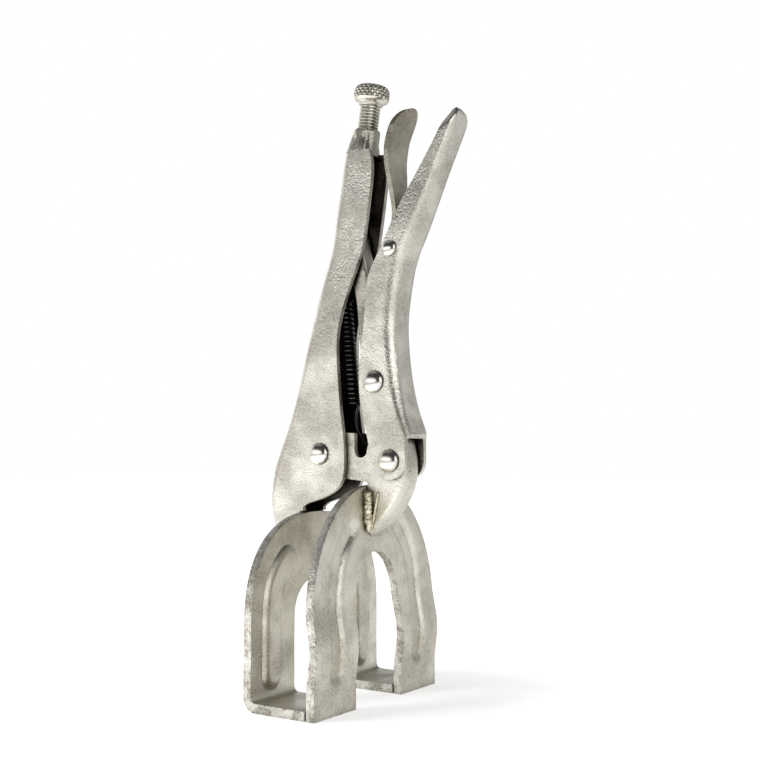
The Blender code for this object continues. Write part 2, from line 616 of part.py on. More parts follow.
def weld(shop, name, x_at, half, low, high, side, outward):
    """A weld bead in the corner between a folded wall and a jaw plate."""
    count = 9
    off = WELD_RADIUS + CLEARANCE
    heights = [low + (high - low) * i / (count - 1) for i in range(count)]
    points = [(x_at(z) + outward * off, side * (half + off), z) for z in heights]
    return shop.add(name, wire(points, WELD_RADIUS, resolution=2), shop.weld)


def welds(shop):
    """Both beads of both jaws."""
    for side, label in ((-1, "near"), (1, "far")):
        weld(shop, f"fixed_jaw_weld_{label}", lambda z: -JAW_SHEET, HANDLE_HALF,
             FIXED_JAW_TOP - 19 * MM, FIXED_JAW_TOP - 2 * MM, side, -1)
        weld(shop, f"moving_jaw_weld_{label}", moving_jaw_face, BRACKET_HALF,
             MOVING_JAW_TOP - 20.5 * MM, MOVING_JAW_TOP - 2.5 * MM, side, 1)


def main():
    """Builds the clamp in an empty scene."""
    for thing in list(bpy.data.objects):
        bpy.data.objects.remove(thing)
    shop = Shop()
    fixed_jaw(shop)
    moving_jaw(shop)
    fixed_handle(shop)
    moving_handle(shop)
    bracket(shop)
    toggle_link(shop)
    release_lever(shop)
    adjusting_screw(shop)
    spring(shop)
    spring_pin(shop)
    welds(shop)
    for name, pivot in (("jaw_rivet", JAW_PIVOT), ("handle_rivet", HANDLE_PIVOT),
                        ("toggle_rivet", TOGGLE_PIVOT)):
        rivet(shop, name, pivot, RIVET_SHANK_RADIUS, RIVET_HEAD_RADIUS, RIVET_HEAD_HEIGHT)
    rivet(shop, "lever_rivet", LEVER_PIVOT, SMALL_SHANK_RADIUS, SMALL_HEAD_RADIUS, SMALL_HEAD_HEIGHT)


main()
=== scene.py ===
"""Looks of a locking welding clamp with two U-shaped jaws.

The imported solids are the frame. The jaws, rivets, adjusting screw, neck, spring and welds
are made finer here and stand for their solids, and the other solids keep their own shape
and get rounded edges and a plated finish. Lengths are in metres.
"""

import json
import logging
import math
from dataclasses import dataclass, field
from enum import Enum
from typing import Callable, Iterable, Sequence

import bmesh
import bpy
from mathutils import Matrix, Vector, noise


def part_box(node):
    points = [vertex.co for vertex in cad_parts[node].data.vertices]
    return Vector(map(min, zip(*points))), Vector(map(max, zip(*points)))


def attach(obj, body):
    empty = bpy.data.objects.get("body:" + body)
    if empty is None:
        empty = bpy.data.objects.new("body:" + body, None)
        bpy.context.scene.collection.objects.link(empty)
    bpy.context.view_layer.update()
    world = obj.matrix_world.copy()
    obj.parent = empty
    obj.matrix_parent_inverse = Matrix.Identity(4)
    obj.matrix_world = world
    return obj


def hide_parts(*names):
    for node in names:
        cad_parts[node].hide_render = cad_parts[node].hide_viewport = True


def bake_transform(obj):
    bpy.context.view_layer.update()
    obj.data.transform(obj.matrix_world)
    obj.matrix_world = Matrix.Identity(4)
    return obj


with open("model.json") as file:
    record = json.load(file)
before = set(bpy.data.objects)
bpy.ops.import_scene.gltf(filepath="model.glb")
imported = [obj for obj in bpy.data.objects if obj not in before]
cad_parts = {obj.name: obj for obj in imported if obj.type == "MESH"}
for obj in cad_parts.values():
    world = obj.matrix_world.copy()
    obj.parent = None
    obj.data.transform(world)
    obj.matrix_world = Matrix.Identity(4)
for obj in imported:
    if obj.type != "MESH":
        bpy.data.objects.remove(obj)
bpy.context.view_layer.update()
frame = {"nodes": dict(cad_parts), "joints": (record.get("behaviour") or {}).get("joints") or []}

LOG = logging.getLogger("welding_clamp")
MM = 0.001
MERGE_GAP = 0.002 * MM
JAW_SHEET = 4.0 * MM
MOVING_LEAN = math.radians(1.6)                    # the moving jaw's lean towards the fixed one
TOOL_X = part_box("fixed_jaw")[0].x + JAW_SHEET      # world X of the fixed jaw's gripping face

Pair = tuple[float, float]
Triple = tuple[float, float, float]
Colour = Triple

BLACK: Colour = (0.0, 0.0, 0.0)
WHITE: Colour = (1.0, 1.0, 1.0)


def tool(x: float, y: float, z: float) -> Vector:
    """A place in the frame from a place counted from the fixed jaw's gripping face."""
    return Vector((TOOL_X + x, y, z))


def joint_place(name: str) -> Vector:
    """The place of a hinge in the frame."""
    found = next(joint for joint in frame["joints"] if joint["name"] == name)
    return Vector(found["pos_m"])


def smoothstep(low: float, high: float, value: float) -> float:
    """0 below low, 1 above high and a smooth step between."""
    share = min(1.0, max(0.0, (value - low) / (high - low)))
    return share * share * (3 - 2 * share)


def smooth_path(points: Sequence[Sequence[float]], steps: int = 8) -> list[Vector]:
    """Points on a Catmull-Rom curve.

    Args:
        points: The points that the curve runs through.
        steps: How many points each stretch gets.

    Returns:
        The curve's points, both ends included.
    """
    ends = [Vector(p) for p in (points[0], *points, points[-1])]
    out = []
    for a, b, c, d in zip(ends, ends[1:], ends[2:], ends[3:]):
        for k in range(steps):
            t = k / steps
            out.append(0.5 * ((2 * b) + (c - a) * t + (2 * a - 5 * b + 4 * c - d) * t ** 2
                              + (3 * b - a - 3 * c + d) * t ** 3))
    return out + [ends[-1]]


class Value:
    """A number on a shader socket, ready for arithmetic."""

    def __init__(self, net: "Net", socket: bpy.types.NodeSocket) -> None:
        self.net = net
        self.socket = socket

    def _math(self, operation: str, first: "Value | float", second: "Value | float") -> "Value":
        """A Math node on two terms."""
        node = self.net.node("ShaderNodeMath", {"operation": operation}, {0: first, 1: second})
        return Value(self.net, node.outputs[0])

    def __add__(self, other: "Value | float") -> "Value":
        """This plus another."""
        return self._math("ADD", self, other)

    def __sub__(self, other: "Value | float") -> "Value":
        """This less another."""
        return self._math("SUBTRACT", self, other)

    def __rsub__(self, other: float) -> "Value":
        """A number less this."""
        return self._math("SUBTRACT", other, self)

    def __mul__(self, other: "Value | float") -> "Value":
        """This times another."""
        return self._math("MULTIPLY", self, other)

    __radd__ = __add__
    __rmul__ = __mul__

    def step(self, low: float, high: float) -> "Value":
        """A smooth step from 0 at low to 1 at high."""
        node = self.net.node("ShaderNodeMapRange", {"interpolation_type": "SMOOTHSTEP"},
                             {"Value": self, "From Min": low, "From Max": high})
        return Value(self.net, node.outputs[0])


class Net:
    """A node tree that is being filled."""

    edge_samples: int = 4
    edge_turn: Pair = (0.004, 0.16)     # 1 less the cosine of the bevel's turn, from none to full
    crevice_samples: int = 6

    def __init__(self, tree: bpy.types.NodeTree) -> None:
        self.tree = tree

    def node(self, kind: str, settings: dict | None = None,
             inputs: dict | None = None) -> bpy.types.Node:
        """Adds a node.

        Args:
            kind: The node's type.
            settings: Its own settings, which are set first.
            inputs: Values or links for its sockets, by name or number.

        Returns:
            The new node.
        """
        made = self.tree.nodes.new(kind)
        for key, value in (settings or {}).items():
            setattr(made, key, value)
        for key, value in (inputs or {}).items():
            source = value.socket if isinstance(value, Value) else value
            if isinstance(source, bpy.types.NodeSocket):
                self.tree.links.new(source, made.inputs[key])
            else:
                made.inputs[key].default_value = source
        return made

    def value(self, kind: str, output: str, settings: dict | None = None,
              inputs: dict | None = None) -> Value:
        """A number read from a new node's output."""
        return Value(self, self.node(kind, settings, inputs).outputs[output])

    def mix(self, factor: Value, first: "Colour | bpy.types.NodeSocket",
            second: "Colour | bpy.types.NodeSocket") -> bpy.types.NodeSocket:
        """Mixes two colours.

        Args:
            factor: The second colour's share.
            first: The colour at factor 0.
            second: The colour at factor 1.

        Returns:
            The mixed colour's socket.
        """
        ends = [(*end, 1.0) if isinstance(end, tuple) else end for end in (first, second)]
        node = self.node("ShaderNodeMix", {"data_type": "RGBA"},
                         {0: factor, 6: ends[0], 7: ends[1]})
        return node.outputs[2]

    def noise(self, place: bpy.types.NodeSocket, scale: float, detail: float,
              roughness: float) -> Value:
        """A noise texture's value."""
        return self.value("ShaderNodeTexNoise", "Fac", None,
                          {"Vector": place, "Scale": scale, "Detail": detail,
                           "Roughness": roughness})

    def dot(self, first: bpy.types.NodeSocket, second: "bpy.types.NodeSocket | Triple") -> Value:
        """The dot product of two directions."""
        return self.value("ShaderNodeVectorMath", "Value", {"operation": "DOT_PRODUCT"},
                          {0: first, 1: second})

    def edge(self, radius: float) -> Value:
        """0 on flat faces, growing to 1 at edges.

        Args:
            radius: How far from an edge it counts.

        Returns:
            The value.
        """
        smooth = self.node("ShaderNodeBevel", {"samples": self.edge_samples}, {"Radius": radius})
        plain = self.node("ShaderNodeNewGeometry").outputs["Normal"]
        return (1 - self.dot(smooth.outputs["Normal"], plain)).step(*self.edge_turn)

    def crevice(self, reach: float, closed: float, free: float) -> Value:
        """0 in the open, growing to 1 where other faces lie within reach.

        Args:
            reach: How far other faces count.
            closed: The open share of the surroundings that gives 1.
            free: The open share that gives 0.

        Returns:
            The value.
        """
        node = self.node("ShaderNodeAmbientOcclusion", {"samples": self.crevice_samples},
                         {"Distance": reach})
        return 1 - Value(self, node.outputs["AO"]).step(closed, free)


@dataclass(frozen=True)
class MetalFinish:
    """A plated or bare metal with cloudy patches, fine grain and dark specks, and painted shade in
    corners, creases and recesses.

    A noise pair holds a noise's detail and roughness, a step pair where a smooth step starts
    and ends, and a crevice triple its reach and the open shares that give 1 and 0.
    """

    name: str
    clean: Colour
    cloudy: Colour
    roughness: float
    roughness_spread: float
    grain_depth: float = 0.32 * MM
    patch_scale: float = 48.0
    grain_scale: float = 1200.0
    speck_scale: float = 1000.0
    speck_share: float = 0.30
    edge_specks: float = 0.75
    # strength of the painted shade in corners and creases
    corner_shade_share: float = 0.80
    waviness: float = 2.0
    grain_share: float = 0.28
    # strength of the painted shade inside channels and between the jaws
    shade: float = 0.80
    # colour of the dark specks and of the painted shade
    dark: Colour = (0.060, 0.052, 0.038)
    patch_noise: Pair = (5.0, 0.62)
    grain_noise: Pair = (2.0, 0.6)
    speck_noise: Pair = (3.0, 0.7)
    cloud_step: Pair = (0.36, 0.66)
    grain_step: Pair = (0.40, 0.64)
    speck_step: Pair = (0.50, 0.66)
    # painted shade in corners and creases: its noise step, its least share and its reach
    corner_shade_step: Pair = (0.30, 0.62)
    corner_shade_least: float = 0.55
    corner_crevice: Triple = (6.0 * MM, 0.25, 0.92)
    # reach of the painted shade inside channels and between the jaws
    inside_crevice: Triple = (22.0 * MM, 0.22, 0.80)
    edge_radius: float = 1.6 * MM
    grain_roughness: float = 0.8
    grain_height: float = 0.6
    speck_height: float = 0.5
    bump_strength: float = 0.8

    def material(self) -> bpy.types.Material:
        """Makes the finish's material.

        Returns:
            The material.
        """
        made = bpy.data.materials.new(self.name)
        made.use_nodes = True
        net = Net(made.node_tree)
        shader = made.node_tree.nodes["Principled BSDF"]
        place = net.node("ShaderNodeTexCoord").outputs["Object"]
        patches = net.noise(place, self.patch_scale, *self.patch_noise)
        grain = net.noise(place, self.grain_scale, *self.grain_noise)
        specks = net.noise(place, self.speck_scale, *self.speck_noise)
        cloud = patches.step(*self.cloud_step)
        corner = net.crevice(*self.corner_crevice)
        inside = net.crevice(*self.inside_crevice)
        edge = net.edge(self.edge_radius)

        patchy = cloud * (1 - self.grain_share) + grain.step(*self.grain_step) * self.grain_share
        plated = net.mix(patchy, self.clean, self.cloudy)
        speckled = (specks.step(*self.speck_step)
                    * (cloud * self.speck_share + edge * self.edge_specks))
        # painted shade: darkens corners and creases where other faces lie near, made uneven by
        # noise
        uneven = specks.step(*self.corner_shade_step) * (1 - self.corner_shade_least) + self.corner_shade_least
        corner_shade = corner * uneven * self.corner_shade_share
        # mixes the dark specks and the painted shade into the plating
        worn_and_shaded = net.mix(corner_shade, net.mix(speckled, plated, self.dark), self.dark)
        # painted shade: darkens the colour inside channels and between parts, where other faces lie
        # within a long reach
        base = net.mix(inside * self.shade, worn_and_shaded, self.dark)
        net.tree.links.new(base, shader.inputs["Base Color"])

        rough = (cloud * self.roughness_spread
                 + grain * (self.roughness_spread * self.grain_roughness) + self.roughness)
        net.tree.links.new(rough.socket, shader.inputs["Roughness"])
        shader.inputs["Metallic"].default_value = 1.0

        height = grain * self.grain_height + specks * self.speck_height + patches * self.waviness
        bump = net.node("ShaderNodeBump", None, {"Height": height, "Distance": self.grain_depth,
                                                 "Strength": self.bump_strength})
        net.tree.links.new(bump.outputs["Normal"], shader.inputs["Normal"])
        return made


class Finish(Enum):
    """The clamp's finishes."""

    HANDLE = MetalFinish("handle_nickel", (0.92, 0.89, 0.80), (0.58, 0.55, 0.47), 0.18, 0.14,
                         speck_share=0.40, edge_specks=0.35)
    # darker than the handles' plating: partly the lever's own tone, partly painted shade
    LEVER = MetalFinish("lever_nickel", (0.54, 0.51, 0.43), (0.30, 0.27, 0.21), 0.22, 0.14,
                        corner_shade_share=0.6, shade=0.6)
    JAW = MetalFinish("jaw_nickel", (0.88, 0.85, 0.75), (0.58, 0.55, 0.46), 0.26, 0.16,
                      0.28 * MM, patch_scale=38.0, speck_share=0.36, corner_shade_share=0.6, shade=0.2)
    JAW_RIM = MetalFinish("jaw_rim", (0.93, 0.91, 0.84), (0.50, 0.47, 0.38), 0.26, 0.22,
                          0.30 * MM, patch_scale=150.0, speck_share=0.80, corner_shade_share=0.6,
                          shade=0.0)
    RIVET = MetalFinish("rivet_steel", (0.90, 0.88, 0.82), (0.74, 0.71, 0.64), 0.10, 0.08,
                        0.03 * MM, speck_share=0.1, edge_specks=0.2, shade=0.0)
    SCREW = MetalFinish("screw_nickel", (0.88, 0.85, 0.76), (0.58, 0.54, 0.44), 0.20, 0.12,
                        0.03 * MM, speck_share=0.2, edge_specks=0.1, shade=0.5)
    WELD = MetalFinish("weld_nickel", (0.94, 0.88, 0.72), (0.60, 0.53, 0.38), 0.20, 0.20,
                       0.16 * MM, patch_scale=260.0, speck_share=0.4, edge_specks=0.1,
                       corner_shade_share=0.2, shade=0.0)
    SPRING = MetalFinish("spring_black", (0.10, 0.10, 0.10), (0.03, 0.03, 0.03), 0.18, 0.10,
                         0.02 * MM, corner_shade_share=0.3, shade=0.0)


def round_edges(piece: bpy.types.Object, name: str, width: float, turn: float) -> None:
    """Adds a modifier that rounds a piece's edges.

    Args:
        piece: The piece.
        name: The modifier's name.
        width: The rounded edges' width.
        turn: The least angle between the faces at an edge that is rounded.
    """
    bevel = piece.modifiers.new(name, "BEVEL")
    bevel.width = width
    bevel.segments = 3
    bevel.limit_method = "ANGLE"
    bevel.angle_limit = turn


class Dresser:
    """Gives each piece its material and the body that it rides on."""

    weld_gap: float = 0.01 * MM
    flat_turn: float = math.radians(0.7)
    edge_turn: float = math.radians(38)

    def __init__(self) -> None:
        self.materials = {finish: finish.value.material() for finish in Finish}

    def paint(self, piece: bpy.types.Object, *finishes: Finish) -> None:
        """Puts finishes in a piece's material slots, in order.

        Args:
            piece: The piece.
            finishes: The first slot's finish and any that follow it.
        """
        piece.data.materials.clear()
        for finish in finishes:
            piece.data.materials.append(self.materials[finish])

    def place(self, piece: bpy.types.Object, finish: Finish, body: str, slot: str,
              nodes: Iterable[str]) -> None:
        """Adds a new piece to the clamp.

        Args:
            piece: The piece, already in place.
            finish: Its finish.
            body: The body that it moves with.
            slot: Not used.
            nodes: The solids that it stands for.
        """
        self.paint(piece, finish)
        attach(piece, body)
        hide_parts(*nodes)
        LOG.info("%s stands for %s on %s", piece.name, ", ".join(nodes), body)

    def stretch(self, piece: bpy.types.Object, finish: Finish, bodies: tuple[str, str],
                node: str) -> None:
        """Adds a new piece that runs between two bodies; it is fixed in the frame and moves with
        neither.

        Args:
            piece: The piece, already in place.
            finish: Its finish.
            bodies: The bodies at its two ends, named only in the log.
            node: The solid that it stands for.
        """
        self.paint(piece, finish)
        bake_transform(piece)
        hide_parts(node)
        LOG.info("%s stands for %s between %s and %s", piece.name, node, *bodies)

    def keep(self, node: str, finish: Finish, edge: float) -> None:
        """Rounds the edges of a solid that is shown as it is, and paints it.

        Args:
            node: The solid's name.
            finish: Its finish.
            edge: The width of its rounded edges.
        """
        solid = frame["nodes"][node]
        self.paint(solid, finish)
        for face in solid.data.polygons:
            face.use_smooth = True
            face.material_index = 0
        weld = solid.modifiers.new("weld", "WELD")
        weld.merge_threshold = self.weld_gap
        flat = solid.modifiers.new("flat", "DECIMATE")
        flat.decimate_type = "DISSOLVE"
        flat.angle_limit = self.flat_turn
        round_edges(solid, "edges", edge, self.edge_turn)
        normals = solid.modifiers.new("normals", "WEIGHTED_NORMAL")
        normals.keep_sharp = False
        LOG.info("%s keeps its solid", node)


def new_piece(name: str, points: Sequence[Vector],
              faces: Sequence[Sequence[int]]) -> bpy.types.Object:
    """Makes a smooth mesh object in the scene.

    Args:
        name: The object's name.
        points: The places of its points, where doubles are merged.
        faces: The points' numbers, face by face.

    Returns:
        The object.
    """
    mesh = bpy.data.meshes.new(name)
    mesh.from_pydata([tuple(p) for p in points], [], [tuple(f) for f in faces])
    clean = bmesh.new()
    clean.from_mesh(mesh)
    bmesh.ops.remove_doubles(clean, verts=clean.verts, dist=MERGE_GAP)
    bmesh.ops.recalc_face_normals(clean, faces=clean.faces)
    clean.to_mesh(mesh)
    clean.free()
    mesh.shade_smooth()
    piece = bpy.data.objects.new(name, mesh)
    bpy.context.scene.collection.objects.link(piece)
    return piece


def grid_faces(rows: int, columns: int, closed: bool) -> list[tuple[int, ...]]:
    """The faces of a grid of points, closed round its columns if asked."""
    across = columns if closed else columns - 1
    return [(i * columns + j, i * columns + (j + 1) % columns,
             (i + 1) * columns + (j + 1) % columns, (i + 1) * columns + j)
            for i in range(rows - 1) for j in range(across)]


def tube_faces(rows: int, sides: int) -> list[tuple[int, ...]]:
    """The faces of a tube of points, with its wall first and its two ends last."""
    last = (rows - 1) * sides
    return grid_faces(rows, sides, True) + [tuple(range(sides)), tuple(range(last, last + sides))]


def turned(name: str, place: Vector, axis: Vector, heights: Sequence[float],
           radius: Callable[[float, float], float], sides: int) -> bpy.types.Object:
    """A turned piece whose radius may change round it, as a thread's or a knurl's does.

    Args:
        name: The piece's name.
        place: The point where heights are counted from.
        axis: The way that heights grow.
        heights: The rows' heights, from one end to the other.
        radius: The radius at a height and an angle.
        sides: The number of points round it.

    Returns:
        The closed piece.
    """
    turn = axis.to_track_quat("Z", "Y").to_matrix()
    points = []
    for height in heights:
        for k in range(sides):
            angle = 2 * math.pi * k / sides
            r = radius(height, angle)
            points.append(place + turn @ Vector((r * math.cos(angle), r * math.sin(angle), height)))
    return new_piece(name, points, tube_faces(len(heights), sides))


def swept(name: str, route: Sequence[Vector], radius: Callable[[int, float], float],
          sides: int) -> bpy.types.Object:
    """A closed tube along a route.

    Args:
        name: The piece's name.
        route: The points of its centreline.
        radius: The radius at a point's number and an angle.
        sides: The number of points round it.

    Returns:
        The tube with both ends closed.
    """
    points = []
    side = None
    for i, centre in enumerate(route):
        along = (route[min(i + 1, len(route) - 1)] - route[max(i - 1, 0)]).normalized()
        guess = side if side is not None else along.orthogonal()
        side = (guess - along * guess.dot(along)).normalized()
        other = along.cross(side)
        for k in range(sides):
            angle = 2 * math.pi * k / sides
            out = side * math.cos(angle) + other * math.sin(angle)
            points.append(centre + out * radius(i, angle))
    return new_piece(name, points, tube_faces(len(route), sides))


@dataclass
class PressedJaw:
    """A U-shaped jaw pressed from plate, with a stiffening bead along each leg.

    bead_route holds the bead's centreline on the near leg in millimetres, outwards and up.
    """

    name: str
    body: str
    throat_rise: float
    rise_exponent: float
    bead_route: Sequence[Pair]
    footed: bool
    half_width: float = 48.0 * MM
    throat_half: float = 18.0 * MM
    throat_exponent: float = 2.2
    straight: float = 36.0 * MM
    crown: float = 29.5 * MM
    bead_depth: float = 1.9 * MM
    bead_floor: float = 3.7 * MM
    bead_rim: float = 6.0 * MM
    bead_lead: float = 8.0 * MM
    foot_reach: float = 28.7 * MM
    bend: float = 4.5 * MM
    face_x: float = 33.5 * MM
    wave: float = 2.0 * MM
    wave_span: Pair = (10.0 * MM, 46.0 * MM)
    rim_width: float = 1.2 * MM
    rim_turn: float = math.radians(50)
    columns: int = 45
    arch_rows: int = 64
    row_step: float = 1.6 * MM
    bead: list[Vector] = field(init=False)

    def __post_init__(self) -> None:
        """Works out the bead's centreline."""
        self.bead = smooth_path([(y * MM, z * MM) for y, z in self.bead_route], 6)

    def sheet(self, run: float) -> tuple[float, float, float, float]:
        """The middle of the plate in the side view.

        Args:
            run: The height above the floor, or how far below that along the bent foot.

        Returns:
            The place as x and z, and the direction towards the work as x and z.
        """
        if not self.footed:
            low, high = self.wave_span
            bowed = 0.0
            if low < run < high:
                bowed = self.wave * math.sin(math.pi * (run - low) / (high - low)) ** 2
            x = self.face_x - math.tan(MOVING_LEAN) * max(0.0, run - low) + bowed
            return x - JAW_SHEET / 2, run, -1.0, 0.0
        start = self.bend + JAW_SHEET / 2
        past = start - run
        if past <= 0:
            return -JAW_SHEET / 2, run, 1.0, 0.0
        angle = min(past / self.bend, math.pi / 2)
        x = self.bend - JAW_SHEET / 2 - self.bend * math.cos(angle)
        x += max(0.0, past - self.bend * math.pi / 2)
        return x, start - self.bend * math.sin(angle), math.cos(angle), math.sin(angle)

    def pressed(self, y: float, run: float) -> float:
        """How far the plate is pressed towards the work at a place on it.

        Args:
            y: The place across the jaws.
            run: The height above the floor.

        Returns:
            The depth of the bead there.
        """
        here = Vector((abs(y), run))
        if here.y < self.bead[0].y - self.bead_lead:
            return 0.0
        away = min(self._from_stretch(here, a, b) for a, b in zip(self.bead, self.bead[1:]))
        return self.bead_depth * (1 - smoothstep(self.bead_floor, self.bead_rim, away))

    def _from_stretch(self, here: Vector, start: Vector, end: Vector) -> float:
        """The distance of a point from a stretch of the bead.

        Args:
            here: The point.
            start: Where the stretch starts.
            end: Where it ends.

        Returns:
            The distance.
        """
        along = end - start
        share = min(1.0, max(0.0, (here - start).dot(along) / along.length_squared))
        return (here - start - along * share).length

    def rows(self) -> list[tuple[Pair, Pair]]:
        """Lays out the rows across the plate.

        Returns:
            The inner and outer end of each row, from the far leg to the near.
        """
        lowest = 0.0
        if self.footed:
            reach = self.foot_reach - (self.bend - JAW_SHEET / 2)
            lowest = self.bend + JAW_SHEET / 2 - self.bend * math.pi / 2 - reach
        count = round((self.straight - lowest) / self.row_step)
        heights = [lowest + (self.straight - lowest) * i / count for i in range(count)]
        leg = [((self.throat_half, h), (self.half_width, h)) for h in heights]
        rise = self.throat_rise + self.crown
        arch = []
        for i in range(self.arch_rows + 1):
            angle = math.pi * i / self.arch_rows
            arch.append((
                self._arch(self.throat_half, self.throat_rise, self.throat_exponent, angle),
                self._arch(self.half_width, rise, self.rise_exponent, angle)))
        near = [((-a[0], a[1]), (-b[0], b[1])) for a, b in reversed(leg)]
        return leg + arch + near

    def _arch(self, half: float, rise: float, exponent: float, angle: float) -> Pair:
        """A point on a squared-off half ellipse above the legs.

        Args:
            half: Half its width.
            rise: Its height.
            exponent: 2 for a plain ellipse, and more for squarer shoulders.
            angle: The point's angle, from 0 at the far leg.

        Returns:
            The point, across and up.
        """
        c, s = math.cos(angle), math.sin(angle)
        return (half * math.copysign(abs(c) ** (2 / exponent), c),
                self.straight + rise * max(0.0, s) ** (2 / exponent))

    def build(self, dresser: Dresser) -> None:
        """Makes the jaw and lets it stand for its solid.

        Args:
            dresser: What paints and places it.
        """
        rows = self.rows()
        points = []
        for inner, outer in rows:
            for k in range(self.columns):
                share = k / (self.columns - 1)
                y = inner[0] + (outer[0] - inner[0]) * share
                run = inner[1] + (outer[1] - inner[1]) * share
                x, z, towards_x, towards_z = self.sheet(run)
                push = self.pressed(y, run)
                points.append(tool(x + towards_x * push, y, z + towards_z * push))
        piece = new_piece(self.name + "_plate", points,
                          grid_faces(len(rows), self.columns, False))
        shell = piece.modifiers.new("plate", "SOLIDIFY")
        shell.thickness = JAW_SHEET
        shell.offset = 0.0
        shell.use_even_offset = True
        shell.material_offset_rim = 1
        round_edges(piece, "rim", self.rim_width, self.rim_turn)
        dresser.place(piece, Finish.JAW, self.body, "nickel_plate", [self.name])
        dresser.paint(piece, Finish.JAW, Finish.JAW_RIM)


@dataclass
class AdjustingScrew:
    """The adjusting screw: a knurled knob on a threaded shank, and the neck that it turns in.

    Depths are counted down the screw from the knob's top. knob_shape holds depths and radii
    in millimetres, and a pair of depths, sines or shares is where a smooth step runs.
    """

    top: Pair = (30.0 * MM, 278.9 * MM)
    lean: float = math.radians(8.5)
    knob_shape: tuple[Pair, ...] = (
        (0.0, 4.8), (0.35, 6.3), (1.0, 7.3), (1.9, 7.95), (2.9, 8.2), (5.9, 8.2), (6.5, 8.1),
        (7.3, 7.6), (8.0, 6.2), (8.3, 5.6), (9.2, 5.4))
    knob_rows: int = 74
    knurls: int = 20
    knurl_sides: int = 12
    knurl_depth: float = 0.80 * MM
    knurl_rise: float = 2.70 * MM
    knurl_flank: Pair = (0.45, 0.95)
    knurl_top: Pair = (0.1 * MM, 0.9 * MM)
    knurl_foot: Pair = (5.7 * MM, 6.3 * MM)
    shank_radius: float = 4.75 * MM
    shank_end: float = 57.4 * MM
    shank_rows: int = 340
    shank_sides: int = 40
    shank_sunk: float = 0.4 * MM
    thread_depth: float = 0.62 * MM
    pitch: float = 1.45 * MM
    thread_flank: Pair = (0.30, 0.85)
    thread_start: Pair = (9.0 * MM, 10.0 * MM)
    tip_length: float = 1.2 * MM
    tip_cut: float = 0.9 * MM
    neck_top: float = 20.6 * MM
    neck_end: float = 32.4 * MM
    neck_rows: int = 30
    neck_sides: int = 128
    neck_sharp: float = math.radians(28)
    neck_flat: float = 5.75 * MM
    neck_facet: float = math.pi / 4
    neck_chamfer: float = 0.6 * MM
    chamfer_share: float = 0.10
    skirt_half: Pair = (7.00 * MM, 6.95 * MM)
    skirt_exponent: float = 5.0
    spread_exponent: float = 0.8
    neck_opening: Pair = (-0.80, -0.45)
    dent: float = 0.75 * MM
    dent_turns: Pair = (-0.50, 0.42)
    dent_width: float = 0.26
    dent_share: float = 0.42
    dent_spread: float = 0.20

    def axis(self) -> Vector:
        """The direction up the screw."""
        return Vector((math.sin(self.lean), 0, math.cos(self.lean)))

    def knob_outline(self, down: float) -> float:
        """The knob's plain radius.

        Args:
            down: The depth.

        Returns:
            The radius there.
        """
        depth = min(down / MM, self.knob_shape[-1][0])
        for (a, ra), (b, rb) in zip(self.knob_shape, self.knob_shape[1:]):
            if depth <= b:
                return (ra + (rb - ra) * (depth - a) / (b - a)) * MM
        return self.knob_shape[-1][1] * MM

    def knob_radius(self, height: float, angle: float) -> float:
        """The knob's radius with its diamond knurl.

        Args:
            height: The height from the knob's top, which is negative.
            angle: The angle round the screw.

        Returns:
            The radius there.
        """
        down = -height
        band = smoothstep(*self.knurl_top, down) * (1 - smoothstep(*self.knurl_foot, down))
        turns = angle / (2 * math.pi) * self.knurls
        rise = down / self.knurl_rise
        cuts = [abs(((turns + sign * rise) % 1.0) - 0.5) * 2 for sign in (-1, 1)]
        groove = max(smoothstep(*self.knurl_flank, cut) for cut in cuts)
        return self.knob_outline(down) - self.knurl_depth * groove * band

    def thread_radius(self, height: float, angle: float) -> float:
        """The shank's radius with its thread.

        Args:
            height: The height from the knob's top, which is negative.
            angle: The angle round the screw.

        Returns:
            The radius there.
        """
        down = -height
        turn = (down / self.pitch - angle / (2 * math.pi)) % 1.0
        cut = smoothstep(*self.thread_flank, abs(turn - 0.5) * 2)
        start = smoothstep(*self.thread_start, down)
        tip = smoothstep(self.shank_end - self.tip_length, self.shank_end, down) * self.tip_cut
        return self.shank_radius - self.thread_depth * cut * start - tip

    def neck_radius(self, height: float, angle: float) -> float:
        """The neck's radius: a facetted collar that spreads into the handle's folded top.

        Args:
            height: The height from the knob's top, which is negative.
            angle: The angle round the screw.

        Returns:
            The radius there.
        """
        share = (-height - self.neck_top) / (self.neck_end - self.neck_top)
        facet = self.neck_facet
        off_flat = (angle + facet / 2) % facet - facet / 2
        chamfer = self.neck_chamfer * (1 - smoothstep(0.0, self.chamfer_share, share))
        collar = self.neck_flat / math.cos(off_flat) - chamfer
        across, along = self.skirt_half
        power = self.skirt_exponent
        skirt = (abs(math.cos(angle) / across) ** power
                 + abs(math.sin(angle) / along) ** power) ** (-1 / power)
        closed = smoothstep(*self.neck_opening, math.sin(angle))
        spread = share ** self.spread_exponent * closed
        dented = 0.0
        for side in (0.0, math.pi):
            for turn in self.dent_turns:
                off = math.remainder(angle - side - turn, 2 * math.pi)
                dented += math.exp(-(off / self.dent_width) ** 2
                                   - ((share - self.dent_share) / self.dent_spread) ** 2)
        return collar + (skirt - collar) * spread - self.dent * dented

    def rows(self, start: float, end: float, count: int) -> list[float]:
        """Heights from one depth to another."""
        return [-(start + (end - start) * i / count) for i in range(count + 1)]

